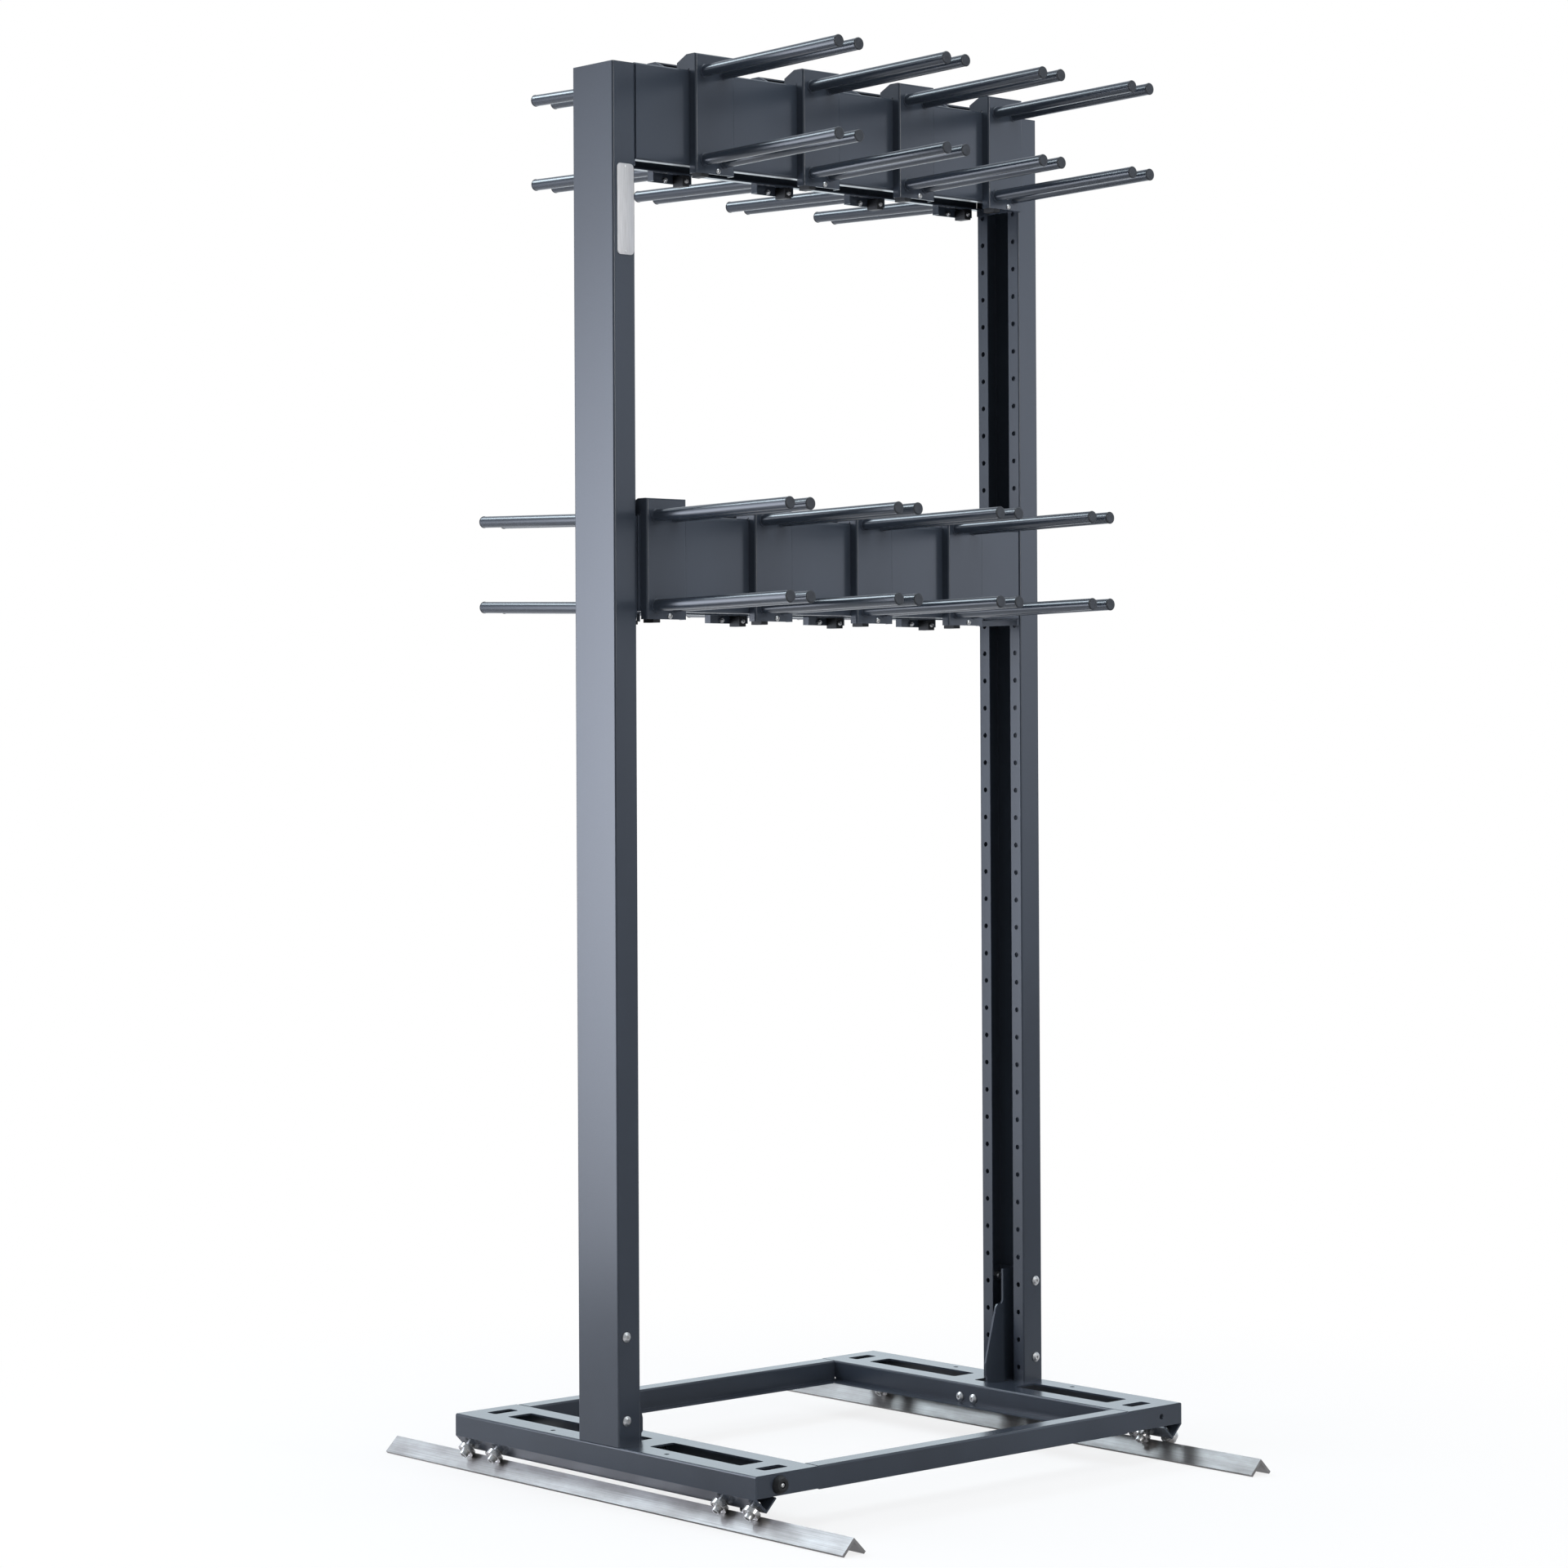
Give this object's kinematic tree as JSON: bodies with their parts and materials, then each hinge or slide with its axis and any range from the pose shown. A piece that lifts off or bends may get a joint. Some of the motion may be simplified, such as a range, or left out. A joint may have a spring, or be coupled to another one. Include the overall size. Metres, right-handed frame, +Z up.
{
  "type": "rolling ski storage rack",
  "caption": "Rolling ski rack on floor rails: slotted folded base with bearings, two perforated posts, two beams with clamp-on peg hangers on both sides.",
  "frame": {"origin": "on the floor, in the middle of the rack between the two rails and between front and rear", "axes": "+X along the beams towards the right post, -Y towards the front pegs, +Z up"},
  "size_m": [1.0076, 1.2, 2.4248],
  "materials": {
    "dark_paint": "fine matt powder coat, anthracite",
    "rail_steel": "rolled mill finish with smears",
    "bearing_steel": "ground bearing rings",
    "zinc_steel": "bright zinc plating",
    "buffer_rubber": "black moulded rubber",
    "black_plastic": "moulded plastic with a fine grain"
  },
  "bodies": {
    "rails": {"rail_left": "rail_steel", "rail_right": "rail_steel"},
    "carriage": {"section_left": "dark_paint", "section_right": "dark_paint", "cross_bar_front": "dark_paint", "cross_bar_rear": "dark_paint", "rail_buffers": "buffer_rubber", "post_left": "dark_paint", "post_right": "dark_paint", "post_foot_left": "dark_paint", "post_foot_right": "dark_paint", "frame_bolts": "zinc_steel", "beam_top": "dark_paint", "beam_middle": "dark_paint", "roller_axles": "zinc_steel"},
    "roller_left_outer_1": {"roller_left_outer_1": "bearing_steel"},
    "roller_left_outer_2": {"roller_left_outer_2": "bearing_steel"},
    "roller_left_outer_3": {"roller_left_outer_3": "bearing_steel"},
    "roller_left_outer_4": {"roller_left_outer_4": "bearing_steel"},
    "roller_left_inner_1": {"roller_left_inner_1": "bearing_steel"},
    "roller_left_inner_2": {"roller_left_inner_2": "bearing_steel"},
    "roller_right_outer_1": {"roller_right_outer_1": "bearing_steel"},
    "roller_right_outer_2": {"roller_right_outer_2": "bearing_steel"},
    "roller_right_outer_3": {"roller_right_outer_3": "bearing_steel"},
    "roller_right_outer_4": {"roller_right_outer_4": "bearing_steel"},
    "roller_right_inner_1": {"roller_right_inner_1": "bearing_steel"},
    "roller_right_inner_2": {"roller_right_inner_2": "bearing_steel"},
    "hanger_top_front_1": {"hanger_top_front_1": "dark_paint", "fittings_top_front_1": "black_plastic"},
    "hanger_top_front_2": {"hanger_top_front_2": "dark_paint", "fittings_top_front_2": "black_plastic"},
    "hanger_top_front_3": {"hanger_top_front_3": "dark_paint", "fittings_top_front_3": "black_plastic"},
    "hanger_top_front_4": {"hanger_top_front_4": "dark_paint", "fittings_top_front_4": "black_plastic"},
    "hanger_top_rear_1": {"hanger_top_rear_1": "dark_paint", "fittings_top_rear_1": "black_plastic"},
    "hanger_top_rear_2": {"hanger_top_rear_2": "dark_paint", "fittings_top_rear_2": "black_plastic"},
    "hanger_top_rear_3": {"hanger_top_rear_3": "dark_paint", "fittings_top_rear_3": "black_plastic"},
    "hanger_top_rear_4": {"hanger_top_rear_4": "dark_paint", "fittings_top_rear_4": "black_plastic"},
    "hanger_mid_front_1": {"hanger_mid_front_1": "dark_paint", "fittings_mid_front_1": "black_plastic"},
    "hanger_mid_front_2": {"hanger_mid_front_2": "dark_paint", "fittings_mid_front_2": "black_plastic"},
    "hanger_mid_front_3": {"hanger_mid_front_3": "dark_paint", "fittings_mid_front_3": "black_plastic"},
    "hanger_mid_front_4": {"hanger_mid_front_4": "dark_paint", "fittings_mid_front_4": "black_plastic"},
    "hanger_mid_rear_1": {"hanger_mid_rear_1": "dark_paint", "fittings_mid_rear_1": "black_plastic"},
    "hanger_mid_rear_2": {"hanger_mid_rear_2": "dark_paint", "fittings_mid_rear_2": "black_plastic"},
    "hanger_mid_rear_3": {"hanger_mid_rear_3": "dark_paint", "fittings_mid_rear_3": "black_plastic"},
    "hanger_mid_rear_4": {"hanger_mid_rear_4": "dark_paint", "fittings_mid_rear_4": "black_plastic"}
  },
  "joints": [
    {"name": "carriage_roll", "type": "slide", "parent": "rails", "child": "carriage", "axis": [0, 1, 0], "range_m": [-0.2, 0.2]},
    {"name": "roller_left_outer_1_spin", "type": "hinge", "parent": "carriage", "child": "roller_left_outer_1", "pos_m": [-0.48985, -0.375, 0.03557], "axis": [0.7071, 0, 0.7071], "continuous": true},
    {"name": "roller_left_outer_2_spin", "type": "hinge", "parent": "carriage", "child": "roller_left_outer_2", "pos_m": [-0.48985, -0.297, 0.03557], "axis": [0.7071, 0, 0.7071], "continuous": true},
    {"name": "roller_left_outer_3_spin", "type": "hinge", "parent": "carriage", "child": "roller_left_outer_3", "pos_m": [-0.48985, 0.297, 0.03557], "axis": [0.7071, 0, 0.7071], "continuous": true},
    {"name": "roller_left_outer_4_spin", "type": "hinge", "parent": "carriage", "child": "roller_left_outer_4", "pos_m": [-0.48985, 0.375, 0.03557], "axis": [0.7071, 0, 0.7071], "continuous": true},
    {"name": "roller_left_inner_1_spin", "type": "hinge", "parent": "carriage", "child": "roller_left_inner_1", "pos_m": [-0.46115, -0.336, 0.03557], "axis": [-0.7071, 0, 0.7071], "continuous": true},
    {"name": "roller_left_inner_2_spin", "type": "hinge", "parent": "carriage", "child": "roller_left_inner_2", "pos_m": [-0.46115, 0.336, 0.03557], "axis": [-0.7071, 0, 0.7071], "continuous": true},
    {"name": "roller_right_outer_1_spin", "type": "hinge", "parent": "carriage", "child": "roller_right_outer_1", "pos_m": [0.48985, -0.375, 0.03557], "axis": [-0.7071, 0, 0.7071], "continuous": true},
    {"name": "roller_right_outer_2_spin", "type": "hinge", "parent": "carriage", "child": "roller_right_outer_2", "pos_m": [0.48985, -0.297, 0.03557], "axis": [-0.7071, 0, 0.7071], "continuous": true},
    {"name": "roller_right_outer_3_spin", "type": "hinge", "parent": "carriage", "child": "roller_right_outer_3", "pos_m": [0.48985, 0.297, 0.03557], "axis": [-0.7071, 0, 0.7071], "continuous": true},
    {"name": "roller_right_outer_4_spin", "type": "hinge", "parent": "carriage", "child": "roller_right_outer_4", "pos_m": [0.48985, 0.375, 0.03557], "axis": [-0.7071, 0, 0.7071], "continuous": true},
    {"name": "roller_right_inner_1_spin", "type": "hinge", "parent": "carriage", "child": "roller_right_inner_1", "pos_m": [0.46115, -0.336, 0.03557], "axis": [0.7071, 0, 0.7071], "continuous": true},
    {"name": "roller_right_inner_2_spin", "type": "hinge", "parent": "carriage", "child": "roller_right_inner_2", "pos_m": [0.46115, 0.336, 0.03557], "axis": [0.7071, 0, 0.7071], "continuous": true},
    {"name": "hanger_top_front_1_slide", "type": "slide", "parent": "carriage", "child": "hanger_top_front_1", "axis": [1, 0, 0], "range_m": [-0.06, 0.06]},
    {"name": "hanger_top_front_2_slide", "type": "slide", "parent": "carriage", "child": "hanger_top_front_2", "axis": [1, 0, 0], "range_m": [-0.06, 0.06]},
    {"name": "hanger_top_front_3_slide", "type": "slide", "parent": "carriage", "child": "hanger_top_front_3", "axis": [1, 0, 0], "range_m": [-0.06, 0.06]},
    {"name": "hanger_top_front_4_slide", "type": "slide", "parent": "carriage", "child": "hanger_top_front_4", "axis": [1, 0, 0], "range_m": [-0.06, 0.005]},
    {"name": "hanger_top_rear_1_slide", "type": "slide", "parent": "carriage", "child": "hanger_top_rear_1", "axis": [1, 0, 0], "range_m": [-0.06, 0.06]},
    {"name": "hanger_top_rear_2_slide", "type": "slide", "parent": "carriage", "child": "hanger_top_rear_2", "axis": [1, 0, 0], "range_m": [-0.06, 0.06]},
    {"name": "hanger_top_rear_3_slide", "type": "slide", "parent": "carriage", "child": "hanger_top_rear_3", "axis": [1, 0, 0], "range_m": [-0.06, 0.06]},
    {"name": "hanger_top_rear_4_slide", "type": "slide", "parent": "carriage", "child": "hanger_top_rear_4", "axis": [1, 0, 0], "range_m": [-0.06, 0.005]},
    {"name": "hanger_mid_front_1_slide", "type": "slide", "parent": "carriage", "child": "hanger_mid_front_1", "axis": [1, 0, 0], "range_m": [-0.005, 0.06]},
    {"name": "hanger_mid_front_2_slide", "type": "slide", "parent": "carriage", "child": "hanger_mid_front_2", "axis": [1, 0, 0], "range_m": [-0.06, 0.06]},
    {"name": "hanger_mid_front_3_slide", "type": "slide", "parent": "carriage", "child": "hanger_mid_front_3", "axis": [1, 0, 0], "range_m": [-0.06, 0.06]},
    {"name": "hanger_mid_front_4_slide", "type": "slide", "parent": "carriage", "child": "hanger_mid_front_4", "axis": [1, 0, 0], "range_m": [-0.06, 0.06]},
    {"name": "hanger_mid_rear_1_slide", "type": "slide", "parent": "carriage", "child": "hanger_mid_rear_1", "axis": [1, 0, 0], "range_m": [-0.005, 0.06]},
    {"name": "hanger_mid_rear_2_slide", "type": "slide", "parent": "carriage", "child": "hanger_mid_rear_2", "axis": [1, 0, 0], "range_m": [-0.06, 0.06]},
    {"name": "hanger_mid_rear_3_slide", "type": "slide", "parent": "carriage", "child": "hanger_mid_rear_3", "axis": [1, 0, 0], "range_m": [-0.06, 0.06]},
    {"name": "hanger_mid_rear_4_slide", "type": "slide", "parent": "carriage", "child": "hanger_mid_rear_4", "axis": [1, 0, 0], "range_m": [-0.06, 0.06]}
  ],
  "couplings": [
    {"joint": "roller_left_outer_1_spin", "follows": "carriage_roll", "rad_per_m": -66.667},
    {"joint": "roller_left_outer_2_spin", "follows": "carriage_roll", "rad_per_m": -66.667},
    {"joint": "roller_left_outer_3_spin", "follows": "carriage_roll", "rad_per_m": -66.667},
    {"joint": "roller_left_outer_4_spin", "follows": "carriage_roll", "rad_per_m": -66.667},
    {"joint": "roller_left_inner_1_spin", "follows": "carriage_roll", "rad_per_m": 66.667},
    {"joint": "roller_left_inner_2_spin", "follows": "carriage_roll", "rad_per_m": 66.667},
    {"joint": "roller_right_outer_1_spin", "follows": "carriage_roll", "rad_per_m": 66.667},
    {"joint": "roller_right_outer_2_spin", "follows": "carriage_roll", "rad_per_m": 66.667},
    {"joint": "roller_right_outer_3_spin", "follows": "carriage_roll", "rad_per_m": 66.667},
    {"joint": "roller_right_outer_4_spin", "follows": "carriage_roll", "rad_per_m": 66.667},
    {"joint": "roller_right_inner_1_spin", "follows": "carriage_roll", "rad_per_m": -66.667},
    {"joint": "roller_right_inner_2_spin", "follows": "carriage_roll", "rad_per_m": -66.667}
  ]
}
